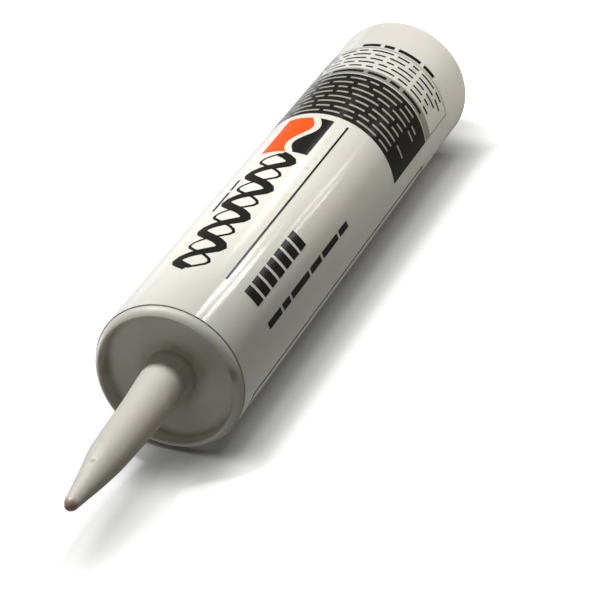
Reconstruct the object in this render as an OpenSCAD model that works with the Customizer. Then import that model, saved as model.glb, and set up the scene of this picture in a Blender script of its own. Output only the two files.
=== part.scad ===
// Caulk tube for a caulking gun: a plastic barrel with an end cap and nozzle in front, a plunger behind the
// sealant, and its print as thin fields of ink let into the barrel's surface.
// It stands on its rear rim. Z is the axis and points to the nozzle. The printed side faces -Y.

/* [Barrel] */
// Outside diameter of the barrel
barrel_d = 50; // [46:0.5:60]
// Thickness of the barrel's wall
barrel_wall = 1.5; // [1:0.1:2.5]
// Length of the barrel, from its rear rim to the end cap
barrel_length = 213; // [200:1:250]
// Chamfer on the outer edge of the barrel at each end
barrel_chamfer = 0.4; // [0.1:0.1:0.8]

/* [End cap] */
// How far the cap's rim stands in from the outside of the barrel
rim_inset = 0.4; // [0.1:0.1:1]
// Height of the cap's rim in front of the barrel
rim_height = 3.5; // [2:0.25:6]
// Round on the rim's outer edge
rim_round = 1.2; // [0.4:0.1:1.4]
// Width of the flat crest on the rim
rim_crest = 0.8; // [0.4:0.1:1]
// Depth of the recess inside the rim
recess_depth = 5.5; // [4:0.25:9]
// How far the recess narrows from its mouth to its floor, on the radius
recess_taper = 1; // [0.4:0.1:1.6]
// Thickness of the cap's floor
floor_wall = 1.5; // [1:0.1:3]
// Radial clearance of the cap's plug in the barrel, filled by the weld
plug_gap = 0.05; // [0.02:0.01:0.1]

/* [Nozzle] */
// Height of the nozzle's tip in front of the barrel
nozzle_height = 75.2; // [66:0.2:90]
// Diameter of the nozzle at its root
nozzle_root_d = 16; // [14:0.25:22]
// Diameter of the nozzle where its lower cone begins to narrow faster
nozzle_middle_d = 13.6; // [13:0.1:17]
// Height of that place in front of the barrel
nozzle_middle_height = 24; // [15:0.5:32]
// Diameter of the nozzle at the soft shoulder below its tip cone
nozzle_shoulder_d = 11.6; // [9:0.1:12.8]
// Height of the shoulder in front of the barrel
nozzle_shoulder_height = 48; // [38:0.5:56]
// Diameter of the closed tip
nozzle_tip_d = 4.4; // [3.2:0.1:6]
// Wall of the nozzle
nozzle_wall = 1.3; // [0.8:0.1:1.5]
// Fillet where the nozzle leaves the floor
nozzle_fillet = 0.6; // [0.2:0.1:1.5]

/* [Seal and sealant] */
// Thickness of the foil that closes the nozzle from inside
seal_thickness = 0.2; // [0.1:0.05:0.5]
// How far the foil laps past the nozzle's opening, all round
seal_lap = 2.5; // [1:0.25:4]
// Clearance between the sealant's solid and what holds it
fill_gap = 0.1; // [0.05:0.05:0.3]

/* [Plunger] */
// How far the plunger's rear edge stands inside the rear rim. With the sizes here the sealant takes 300 ml.
plunger_inset = 17; // [5:0.5:25]
// Height of the plunger
plunger_height = 18; // [12:0.5:24]
// Wall of the plunger's skirt
plunger_wall = 1.6; // [1:0.1:2.5]
// Thickness of the plunger's front
plunger_front = 2; // [1.2:0.1:4]
// Height of each sliding land, at the plunger's front and rear
plunger_land = 4; // [2:0.25:5.5]
// How far the plunger's waist stands in from its lands
plunger_relief = 0.5; // [0.2:0.1:0.9]
// Radial running clearance of the plunger in the barrel
plunger_gap = 0.08; // [0.03:0.01:0.1]

/* [Ink] */
// Depth of the ink fields in the barrel's surface
ink_depth = 0.1; // [0.05:0.05:0.3]
// Width of a thin printed line
thin_line = 0.4; // [0.2:0.1:1]
// Gap between two printed words
word_gap = 1.6; // [0.8:0.1:3]

/* [Main print] */
// Distance of the main print behind the front of the barrel
main_start = 24; // [10:0.5:26]
// Rough length of one printed wave, of which as many stand in a row as fit before the emblem
wave_pitch = 20; // [18:0.5:26]
// Half of the wave's height, measured at the middle of its stroke
wave_swing = 5.4; // [3:0.1:6]
// Width of the wave's broad stroke
wave_stroke = 3.6; // [1:0.1:4]
// Width of the fine stroke that crosses it
wave_fine_stroke = 1.1; // [0.5:0.1:2]
// Place of the wave's middle along the arc, from the front line of the print
wave_arc = -18.5; // [-20:0.5:-16]
// Length of the two coloured emblem
emblem_length = 26; // [20:0.5:26]
// Height of the emblem along the arc
emblem_height = 16.5; // [10:0.5:18]
// Gap between the wave and the emblem
emblem_gap = 2; // [1:0.5:3]
// Gap between the emblem and the dark panel
panel_gap = 3.5; // [1:0.5:6]
// Width of the bare wave that parts the emblem's colours
emblem_part = 2.4; // [1:0.1:4]
// How far that wave lies below the emblem's middle
emblem_split = 2; // [-2:0.25:2.5]
// Half of that wave's height
emblem_swing = 2.4; // [1:0.1:2.6]
// Place of the long rule along the arc
rule_arc = -5; // [-7:0.25:-3]
// Width of the long rule
rule_width = 0.7; // [0.4:0.1:1.4]
// Number of bold blocks below the rule
block_count = 7; // [3:1:9]
// Distance from one bold block to the next
block_pitch = 6.1; // [5:0.1:8]
// Length of a bold block
block_length = 4.6; // [2:0.1:4.8]
// Height of a bold block along the arc
block_height = 6.4; // [3:0.1:8]
// Place of the blocks' middle along the arc
block_arc = 5; // [3:0.25:6]
// How far the line of words below the blocks ends before the wave does
line_short = 3; // [0:0.5:12]
// Height of the words in that line
line_height = 2.2; // [1:0.1:4]
// Place of that line along the arc
line_arc = 15.5; // [12.5:0.25:17]
// Height of the small words beside the wave
small_word = 1.2; // [0.6:0.1:1.6]

/* [Printed panel] */
// Bare length between the print and the rear of the barrel
rear_margin = 19.5; // [10:0.5:30]
// Length of the dark panel along the barrel
panel_length = 32.5; // [26:0.5:34]
// Edge of the panel, the band and the frame on the right of the print, along the arc
panel_right = 22; // [19:0.5:25]
// Their edge on the left of the print, along the arc
panel_left = 46; // [40:0.5:48]
// Number of rows of pale words in the panel
panel_rows = 8; // [3:1:8]
// Height of those words
panel_word = 1.1; // [0.5:0.1:1.6]
// Bare line between the panel and the grey band
band_gap = 0.8; // [0.4:0.1:1.5]
// Length of the grey band along the barrel
band_length = 4.2; // [3:0.1:5]
// Height of the words on the grey band
band_word = 1.9; // [0.8:0.1:2.2]
// Length of the thin frame behind the band
frame_length = 17.5; // [12:0.5:18]
// Number of rows of words in the frame
frame_rows = 5; // [2:1:5]
// Height of those words
frame_word = 0.9; // [0.4:0.1:1.5]
// Height of the last words, behind the frame
last_word = 2; // [1:0.1:3]
// Gap between the frame and the last words
last_gap = 1; // [0.5:0.1:2]
// Where the last words start on the left of the print, along the arc
last_left = 22; // [15:1:30]
// Where they end on the right
last_right = 12; // [6:1:20]
// Place of the rule at the edge of the rear print, along the arc
rear_rule_arc = 31; // [28:0.5:34]
// Width of the plain frame printed on the rear
rear_frame_width = 56; // [30:1:58]
// Width of that frame's line
rear_line = 0.8; // [0.4:0.1:1.2]

/* [Hidden] */

// Facets of round shapes, steps in each rounded corner of an outline, and steps in each turn of a wave
$fn = 96;
corner_steps = 5;
wave_steps = 12;
// How far a cutting shape stands past the surface it cuts
over = 1;
// How far a printed shape stands inwards and outwards past its ink: as ink, as a bed for it, and as a cutter
AS_INK = [0, 0];
AS_BED = [0, over];
AS_CUTTER = [over, over];

barrel_r = barrel_d / 2;
bore_r = barrel_r - barrel_wall;

// End cap and nozzle, as heights above the rear rim
rim_r = barrel_r - rim_inset;
rim_top = barrel_length + rim_height;
mouth_r = rim_r - rim_round - rim_crest;
floor_r = mouth_r - recess_taper;
floor_top = rim_top - recess_depth;
floor_bottom = floor_top - floor_wall;
plug_r = bore_r - plug_gap;
nozzle_root_r = nozzle_root_d / 2;
nozzle_tip = barrel_length + nozzle_height;
nozzle_middle = barrel_length + nozzle_middle_height;
nozzle_shoulder = barrel_length + nozzle_shoulder_height;
tip_r = nozzle_tip_d / 2;
shoulder_r = nozzle_shoulder_d / 2;
// Half of the stretch over which the shoulder bends softly
shoulder_soft = 2;
// The tip is a flattened dome, whose height is this share of its radius
dome_share = 0.8;
tip_rise = tip_r * dome_share;
tip_base = nozzle_tip - tip_rise;

// Contents, from the cap's floor down to the plunger
seal_r = nozzle_root_r - nozzle_wall + seal_lap;
seal_bottom = floor_bottom - seal_thickness;
fill_r = bore_r - fill_gap;
fill_top = floor_bottom - fill_gap;
plunger_r = bore_r - plunger_gap;
plunger_bottom = plunger_inset;
plunger_top = plunger_bottom + plunger_height;
fill_bottom = plunger_top + fill_gap;
plunger_chamfer = plunger_relief;

// Lengths of the printed words, in turn, against the longest
WORDS = [9, 5, 12, 7, 4, 10, 6];
longest_word = max(WORDS);
// How many words further on each row starts in that list
row_shift = 3;
// Spare length at both ends of the rows, as a share of their pitch
row_slack = 0.5;
// Length of the longest word in each kind of row
line_long = 18;
panel_long = 10;
band_long = 12;
frame_long = 8;
last_long = 9;
// Bare margins between the panel's edges and its words, and the band's and the frame's
left_margin = 3;
right_margin = 4;

// Print, as distances behind the front of the barrel and places along the arc
rear_length = panel_length + band_gap + band_length + frame_length + last_gap + last_word;
panel_start = barrel_length - rear_margin - rear_length;
panel_end = panel_start + panel_length;
emblem_end = panel_start - panel_gap;
emblem_start = emblem_end - emblem_length;
emblem_turns = 1;
wave_start = main_start;
wave_end = emblem_start - emblem_gap;
wave_length = wave_end - wave_start;
wave_count = round(wave_length / wave_pitch);
line_end = wave_end - line_short;
band_start = panel_end + band_gap;
band_end = band_start + band_length;
frame_end = band_end + frame_length;
small_arc = wave_arc - wave_swing - wave_stroke / 2 - small_word;
words_left = left_margin - panel_left;
words_right = panel_right - right_margin;
rear_frame_start = 8;

// Points of an arc about a centre, from one angle to another
function arc_points(centre, r, from, to) =
    [for (i = [0:corner_steps]) let (a = from + (to - from) * i / corner_steps) centre + r * [cos(a), sin(a)]];

// Angle at the axis of an arc on the barrel's surface
function arc_angle(arc) = arc / barrel_r * 180 / PI;

// Height of a wave with so many turns over a length
function wave_height(x, length, turns, swing) = swing * sin(360 * turns * x / length);

// Angle at which that wave climbs
function wave_slope(x, length, turns, swing) =
    atan(swing * 2 * PI * turns / length * cos(360 * turns * x / length));

// One edge of a wavy stroke, at a distance from its middle line
function wave_edge(length, turns, swing, off) =
    [for (i = [0:wave_steps * turns])
        let (x = length * i / (wave_steps * turns), s = wave_slope(x, length, turns, swing))
        [x - off * sin(s), wave_height(x, length, turns, swing) + off * cos(s)]];

// A list of points in the other order
function backwards(points) = [for (i = [len(points) - 1:-1:0]) points[i]];

// Length of a word, and where it starts in its row, for rows whose long words have a given length
function word_length(i, long) = WORDS[i % len(WORDS)] * long / longest_word;
function word_start(first, i, long) =
    i == 0 ? 0 : word_start(first, i - 1, long) + word_length(first + i - 1, long) + word_gap;

// Place of a row among others that fill a length
function row_place(row, rows, length) = length * (row + (1 + row_slack) / 2) / (rows + row_slack);

// A field of ink between two places on the arc and two distances behind the front
module field(arc_from, arc_to, back_from, back_to, spare) {
    rotate([0, 0, 270 - arc_angle(arc_to)])
        rotate_extrude(angle = arc_angle(arc_to - arc_from))
            translate([barrel_r - ink_depth - spare[0], barrel_length - back_to])
                square([spare[0] + ink_depth + spare[1], back_to - back_from]);
}

// A flat drawing laid on the barrel, x running to the rear and y against the arc
module stamp(back, arc, spare) {
    intersection() {
        rotate([0, 0, -arc_angle(arc)]) rotate([90, 0, 0]) rotate([0, 0, -90])
            translate([back - barrel_length, 0, barrel_r / 2])
                linear_extrude(height = barrel_r)
                    children();
        difference() {
            cylinder(r = barrel_r + spare[1], h = barrel_length);
            translate([0, 0, -over])
                cylinder(r = barrel_r - ink_depth - spare[0], h = barrel_length + 2 * over);
        }
    }
}

// A row of words across the arc, as far as the row's end
module words_across(arc_from, arc_to, back, height, long, first, spare) {
    for (i = [0:len(WORDS) * 2]) {
        start = arc_from + word_start(first, i, long);
        end = start + word_length(first + i, long);
        if (end <= arc_to)
            field(start, end, back - height / 2, back + height / 2, spare);
    }
}

// A row of words along the barrel, as far as the row's end
module words_along(back_from, back_to, arc, height, long, first, spare) {
    for (i = [0:len(WORDS) * 2]) {
        start = back_from + word_start(first, i, long);
        end = start + word_length(first + i, long);
        if (end <= back_to)
            field(arc - height / 2, arc + height / 2, start, end, spare);
    }
}

// A wavy stroke of even width
module wave_stroke(length, turns, swing, width) {
    upper = wave_edge(length, turns, swing, width / 2);
    lower = wave_edge(length, turns, swing, -width / 2);
    polygon(concat(lower, backwards(upper)));
}

// One side of the emblem, above its bare wave for side 1 and below it for side -1
module emblem_side(side) {
    wave = wave_edge(emblem_length, emblem_turns, emblem_swing, side * emblem_part / 2);
    edge = [for (p = wave) p - [0, emblem_split]];
    intersection() {
        translate([0, -emblem_height / 2])
            square([emblem_length, emblem_height]);
        polygon(concat([[-over, side * emblem_height], [-over, edge[0].y]], edge,
            [[emblem_length + over, edge[len(edge) - 1].y], [emblem_length + over, side * emblem_height]]));
    }
}

// The dark panel, whole
module panel(spare) {
    field(-panel_left, panel_right, panel_start, panel_end, spare);
}

// The pale rows of words in the dark panel
module panel_words(spare) {
    for (row = [0:panel_rows - 1]) {
        back = panel_start + row_place(row, panel_rows, panel_length);
        words_across(words_left, words_right, back, panel_word, panel_long, row * row_shift, spare);
    }
}

// The grey band, whole, with the three thin lines that close the frame behind it
module band(spare) {
    outline(-panel_left, panel_right, band_start, frame_end, thin_line, band_length, spare);
}

// The words printed on the grey band
module band_words(spare) {
    words_across(words_left, words_right, band_start + band_length / 2, band_word, band_long, 0, spare);
}

// Two rules along the barrel and two across it, round a frame. The front one may have its own width.
module outline(arc_from, arc_to, back_from, back_to, line, front_line, spare) {
    difference() {
        field(arc_from, arc_to, back_from, back_to, spare);
        field(arc_from + line, arc_to - line, back_from + front_line, back_to - line, spare + AS_CUTTER);
    }
}

// The wave, which stands where a name would be
module wave(spare) {
    stamp(wave_start, wave_arc, spare)
        wave_stroke(wave_length, wave_count, wave_swing, wave_stroke);
    stamp(wave_start, wave_arc, spare)
        wave_stroke(wave_length, wave_count, -wave_swing, wave_fine_stroke);
}

// The rule, the bold blocks and the lines of words on the main print
module main_lines(spare) {
    words_along(wave_start + wave_length / 2, wave_end, small_arc, small_word, line_long, 0, spare);
    field(rule_arc - rule_width / 2, rule_arc + rule_width / 2, main_start, emblem_end, spare);
    for (i = [0:block_count - 1]) {
        start = main_start + i * block_pitch;
        field(block_arc - block_height / 2, block_arc + block_height / 2, start, start + block_length, spare);
    }
    words_along(main_start, line_end, line_arc, line_height, line_long, row_shift, spare);
}

// The words in the thin frame and behind it
module frame_words(spare) {
    for (row = [0:frame_rows - 1]) {
        back = band_end + row_place(row, frame_rows, frame_length);
        words_across(words_left, words_right, back, frame_word, frame_long, row * row_shift, spare);
    }
    words_across(-last_left, last_right, frame_end + last_gap + last_word / 2, last_word, last_long, 0, spare);
}

// All that is printed in black straight on the barrel, apart from the dark panel
module black_marks(spare) {
    rear_right = rear_rule_arc + rear_frame_width;
    wave(spare);
    stamp(emblem_start, wave_arc, spare)
        emblem_side(-1);
    main_lines(spare);
    frame_words(spare);
    outline(rear_rule_arc, rear_right, rear_frame_start, panel_end, rear_line, rear_line, spare);
}

// The orange side of the emblem
module orange_mark(spare) {
    stamp(emblem_start, wave_arc, spare)
        emblem_side(1);
}

// The barrel, a plain tube with shallow beds for the ink
module barrel() {
    color("whitesmoke")
        difference() {
            rotate_extrude()
                polygon([
                    [bore_r, 0],
                    [barrel_r - barrel_chamfer, 0],
                    [barrel_r, barrel_chamfer],
                    [barrel_r, barrel_length - barrel_chamfer],
                    [barrel_r - barrel_chamfer, barrel_length],
                    [bore_r, barrel_length]
                ]);
            black_marks(AS_BED);
            orange_mark(AS_BED);
            panel(AS_BED);
            band(AS_BED);
        }
}

// The end cap and nozzle, one moulding: a plug with a rim, a recessed floor and the hollow closed nozzle
module end_cap() {
    // How fast the nozzle narrows above and below its shoulder, on the radius
    above = (shoulder_r - tip_r) / (tip_base - nozzle_shoulder);
    below = (nozzle_middle_d / 2 - shoulder_r) / (nozzle_shoulder - nozzle_middle);
    color("gainsboro")
        rotate_extrude()
            polygon(concat(
                [[plug_r, floor_bottom], [plug_r, barrel_length], [rim_r, barrel_length]],
                arc_points([rim_r - rim_round, rim_top - rim_round], rim_round, 0, 90),
                [[mouth_r, rim_top], [floor_r, floor_top]],
                arc_points([nozzle_root_r + nozzle_fillet, floor_top + nozzle_fillet], nozzle_fillet, 270, 180),
                [
                    [nozzle_middle_d / 2, nozzle_middle],
                    [shoulder_r + below * shoulder_soft, nozzle_shoulder - shoulder_soft],
                    [shoulder_r - (above - below) * shoulder_soft / 4, nozzle_shoulder],
                    [shoulder_r - above * shoulder_soft, nozzle_shoulder + shoulder_soft]
                ],
                [for (p = arc_points([0, 0], 1, 0, 90)) [p.x * tip_r, tip_base + p.y * tip_rise]],
                [
                    [0, tip_base],
                    [tip_r - nozzle_wall / 2, tip_base - nozzle_wall],
                    [shoulder_r - nozzle_wall, nozzle_shoulder],
                    [nozzle_middle_d / 2 - nozzle_wall, nozzle_middle],
                    [nozzle_root_r - nozzle_wall, floor_bottom]
                ]
            ));
}

// The foil that closes the nozzle from inside, bonded under the cap's floor
module inner_seal() {
    color("silver")
        translate([0, 0, seal_bottom])
            cylinder(r = seal_r, h = seal_thickness);
}

// The sealant, filling the barrel from the plunger to the cap
module sealant() {
    color("oldlace")
        difference() {
            translate([0, 0, fill_bottom])
                cylinder(r = fill_r, h = fill_top - fill_bottom);
            translate([0, 0, seal_bottom - fill_gap])
                cylinder(r = seal_r + fill_gap, h = seal_thickness + fill_gap + over);
        }
}

// The plunger, a cup that opens to the rear and slides on two lands
module plunger() {
    inner_r = plunger_r - plunger_relief - plunger_wall;
    color("white")
        rotate_extrude()
            polygon([
                [0, plunger_top],
                [plunger_r - plunger_chamfer, plunger_top],
                [plunger_r, plunger_top - plunger_chamfer],
                [plunger_r, plunger_top - plunger_land],
                [plunger_r - plunger_relief, plunger_top - plunger_land - plunger_relief],
                [plunger_r - plunger_relief, plunger_bottom + plunger_land + plunger_relief],
                [plunger_r, plunger_bottom + plunger_land],
                [plunger_r, plunger_bottom],
                [inner_r, plunger_bottom],
                [inner_r, plunger_top - plunger_front],
                [0, plunger_top - plunger_front]
            ]);
}

// The black ink
module print_black() {
    color("black") {
        black_marks(AS_INK);
        band_words(AS_INK);
        difference() {
            panel(AS_INK);
            panel_words(AS_CUTTER);
        }
    }
}

// The grey ink
module print_grey() {
    color("gray")
        difference() {
            band(AS_INK);
            band_words(AS_CUTTER);
        }
}

// The pale ink
module print_pale() {
    color("lightgray")
        panel_words(AS_INK);
}

// The orange ink
module print_orange() {
    color("orangered")
        orange_mark(AS_INK);
}

barrel();
end_cap();
inner_seal();
sealant();
plunger();
print_black();
print_grey();
print_pale();
print_orange();
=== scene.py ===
"""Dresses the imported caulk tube: its barrel, end cap with nozzle, plunger, sealant, foil and printing."""

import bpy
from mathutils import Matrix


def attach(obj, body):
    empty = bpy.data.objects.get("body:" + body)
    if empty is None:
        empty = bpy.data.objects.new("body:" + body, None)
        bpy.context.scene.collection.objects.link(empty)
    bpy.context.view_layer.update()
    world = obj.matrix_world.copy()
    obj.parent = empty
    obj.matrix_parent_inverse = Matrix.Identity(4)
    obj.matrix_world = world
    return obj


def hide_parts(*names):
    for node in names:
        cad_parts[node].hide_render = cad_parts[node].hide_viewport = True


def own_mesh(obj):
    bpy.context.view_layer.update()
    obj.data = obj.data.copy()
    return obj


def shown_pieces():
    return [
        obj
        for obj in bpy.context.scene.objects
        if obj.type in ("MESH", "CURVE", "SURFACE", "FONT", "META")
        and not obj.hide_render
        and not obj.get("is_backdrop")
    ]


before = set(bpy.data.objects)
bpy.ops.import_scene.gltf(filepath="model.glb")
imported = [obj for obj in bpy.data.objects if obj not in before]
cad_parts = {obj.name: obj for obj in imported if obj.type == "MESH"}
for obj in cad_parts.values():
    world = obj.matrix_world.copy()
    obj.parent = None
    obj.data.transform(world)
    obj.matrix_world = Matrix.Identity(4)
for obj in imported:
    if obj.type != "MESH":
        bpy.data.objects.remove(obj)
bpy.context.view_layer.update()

import logging
import math
from dataclasses import dataclass, field
from enum import Enum
from functools import reduce
from typing import Any, Callable, Optional, Sequence, Union

import bmesh
import bpy
from mathutils import Matrix, Vector

LOG = logging.getLogger("caulk_tube")
CAP_NAME = "end_cap_and_nozzle"

Socket = bpy.types.NodeSocket
Value = Union[float, Sequence[float], Socket]
Colour = tuple[float, float, float]
Pair = tuple[float, float]

# A millimetre in metres, and the radius in mm below which a point counts as on the axis
MM = 0.001
ON_AXIS = 1e-6

# What soft noise mostly lies between, a fade that goes from 1 to 0, and a stretch along the tube
CLOUD_RANGE: Pair = (0.3, 0.7)
FALLING: Pair = (1.0, 0.0)
DRAWN = (1.0, 1.0, 0.02)

# The sockets of a Mix node that hold its two colours and the mixed one
MIX_A, MIX_B, MIX_RESULT = 6, 7, 2

# Where the photograph was taken from, in metres
EYE = (0.0, -0.5581, 0.8884)

# Colours of the lamps, and their sides in metres
NEUTRAL: Colour = (1.0, 1.0, 1.0)
PALE_WARM: Colour = (1.0, 0.96, 0.92)
WARM: Colour = (1.0, 0.95, 0.84)
WARMEST: Colour = (1.0, 0.9, 0.7)
TINY: Pair = (0.05, 0.05)
SMALL: Pair = (0.2, 0.2)
BROAD: Pair = (0.36, 0.36)
CARD: Pair = (0.5, 0.8)
LONG: Pair = (0.25, 0.45)
LONGEST: Pair = (0.25, 0.9)
SHEET: Pair = (1.4, 1.4)


class Body(Enum):
    """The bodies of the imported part."""

    TUBE = "tube"
    PLUNGER = "plunger"


class Slot(Enum):
    """The material slots of the part's record."""

    BARREL = "barrel_plastic"
    CAP = "cap_plastic"
    FOIL = "seal_foil"
    PASTE = "sealant_paste"
    PLUNGER = "plunger_plastic"


def softly(share: float) -> float:
    """Eases a share in and out, between 0 and 1."""
    share = min(1.0, max(0.0, share))
    return share * share * (3 - 2 * share)


def direction(angle: float, rise: float) -> Vector:
    """Gives a direction from its angle about the axis and its rise towards the nozzle, both in degrees."""
    a, e = math.radians(angle), math.radians(rise)
    return Vector((math.cos(a) * math.cos(e), math.sin(a) * math.cos(e), math.sin(e)))


def dimmed(colour: Colour, share: float) -> Colour:
    """Gives a share of a colour's light."""
    red, green, blue = colour
    return red * share, green * share, blue * share


# Meshes


@dataclass(frozen=True)
class Corner:
    """A corner of a turned outline: radius and height in mm, and the round on it."""

    r: float
    z: float
    fillet: float = 0.0


@dataclass(frozen=True)
class Outline:
    """A turned outline of corners, whose straight runs are cut into short steps.

    A closed outline makes a ring. An open one starts and ends on the axis.
    """

    corners: tuple[Corner, ...]
    closed: bool = True
    step_angle: float = 12.0
    longest_step: float = 6.0
    edge_step: float = 0.25
    least_steps: int = 3

    def points(self) -> list[tuple[float, float]]:
        """Works out the outline with its rounds.

        Returns:
            Radius and height of each point, in mm.
        """
        bends = [self._bend(i) for i in range(len(self.corners))]
        made: list[tuple[float, float]] = []
        last = len(bends) if self.closed else len(bends) - 1
        for i in range(last):
            made += bends[i]
            made += self._steps(bends[i][-1], bends[(i + 1) % len(bends)][0])
        if not self.closed:
            made += bends[-1]
        return made

    def _bend(self, i: int) -> list[tuple[float, float]]:
        """Gives one corner's points: the corner itself, or the arc that rounds it.

        Args:
            i: The corner's place in the outline.

        Returns:
            The points, in mm.
        """
        here = self.corners[i]
        if here.fillet <= 0:
            return [(here.r, here.z)]
        before, after = self.corners[i - 1], self.corners[(i + 1) % len(self.corners)]
        tip = Vector((here.r, here.z))
        back = (Vector((before.r, before.z)) - tip).normalized()
        ahead = (Vector((after.r, after.z)) - tip).normalized()
        half = back.angle(ahead) / 2
        centre = tip + (back + ahead).normalized() * here.fillet / math.sin(half)
        first = tip + back * here.fillet / math.tan(half) - centre
        last = tip + ahead * here.fillet / math.tan(half) - centre
        turn = math.pi - 2 * half
        count = max(self.least_steps, math.ceil(math.degrees(turn) / self.step_angle))
        way = 1 if first.x * last.y - first.y * last.x > 0 else -1
        found = []
        for k in range(count + 1):
            a = way * turn * k / count
            found.append((
                centre.x + first.x * math.cos(a) - first.y * math.sin(a),
                centre.y + first.x * math.sin(a) + first.y * math.cos(a),
            ))
        return found

    def _steps(self, a: tuple[float, float], b: tuple[float, float]) -> list[tuple[float, float]]:
        """Cuts a straight run into steps, with a short one at each end to keep its shading flat.

        Args:
            a: Where the run starts, in mm.
            b: Where it ends.

        Returns:
            The points between the two ends.
        """
        length = math.dist(a, b)
        if length < 3 * self.edge_step:
            return []
        inner = length - 2 * self.edge_step
        count = max(1, math.ceil(inner / self.longest_step))
        shares = [(self.edge_step + inner * k / count) / length for k in range(count + 1)]
        return [(a[0] + (b[0] - a[0]) * t, a[1] + (b[1] - a[1]) * t) for t in shares]


def turned(
    name: str,
    outline: Outline,
    segments: int,
    reshape: Callable[[Vector], Vector] = lambda p: p,
    crease: float = 40.0,
) -> bpy.types.Object:
    """Turns an outline about the axis into a closed mesh.

    Args:
        name: Name of the piece.
        outline: The outline to turn.
        segments: Number of facets round the axis.
        reshape: Moves each point of the mesh, in mm.
        crease: Angle in degrees above which an edge stays sharp.

    Returns:
        The new piece, at the origin of the part's frame.
    """
    mesh = bmesh.new()
    rings: list[list[bmesh.types.BMVert]] = []
    for r, z in outline.points():
        if r < ON_AXIS:
            rings.append([mesh.verts.new(reshape(Vector((0, 0, z))) * MM)])
            continue
        ring = []
        for k in range(segments):
            a = 2 * math.pi * k / segments
            ring.append(mesh.verts.new(reshape(Vector((r * math.cos(a), r * math.sin(a), z))) * MM))
        rings.append(ring)
    pairs = list(zip(rings, rings[1:] + rings[:1] if outline.closed else rings[1:]))
    for one, two in pairs:
        for k in range(segments):
            n = (k + 1) % segments
            if len(one) == 1:
                mesh.faces.new((one[0], two[k], two[n]))
            elif len(two) == 1:
                mesh.faces.new((one[k], two[0], one[n]))
            else:
                mesh.faces.new((one[k], two[k], two[n], one[n]))
    bmesh.ops.recalc_face_normals(mesh, faces=mesh.faces)
    data = bpy.data.meshes.new(name)
    mesh.to_mesh(data)
    mesh.free()
    data.shade_smooth()
    data.set_sharp_from_angle(angle=math.radians(crease))
    piece = bpy.data.objects.new(name, data)
    bpy.context.scene.collection.objects.link(piece)
    return piece


def place(piece: bpy.types.Object, body: Body, slot: Slot, *nodes: str) -> None:
    """Puts a finished piece on its body in place of its CAD nodes.

    Args:
        piece: The piece.
        body: The body that carries it.
        slot: The record's material slot of the piece's finish; not used.
        nodes: The CAD nodes that it stands for.
    """
    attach(piece, body.value)
    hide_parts(*nodes)
    LOG.info("%s stands for %s on %s", piece.name, ", ".join(nodes), body.value)


# Shader trees


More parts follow.
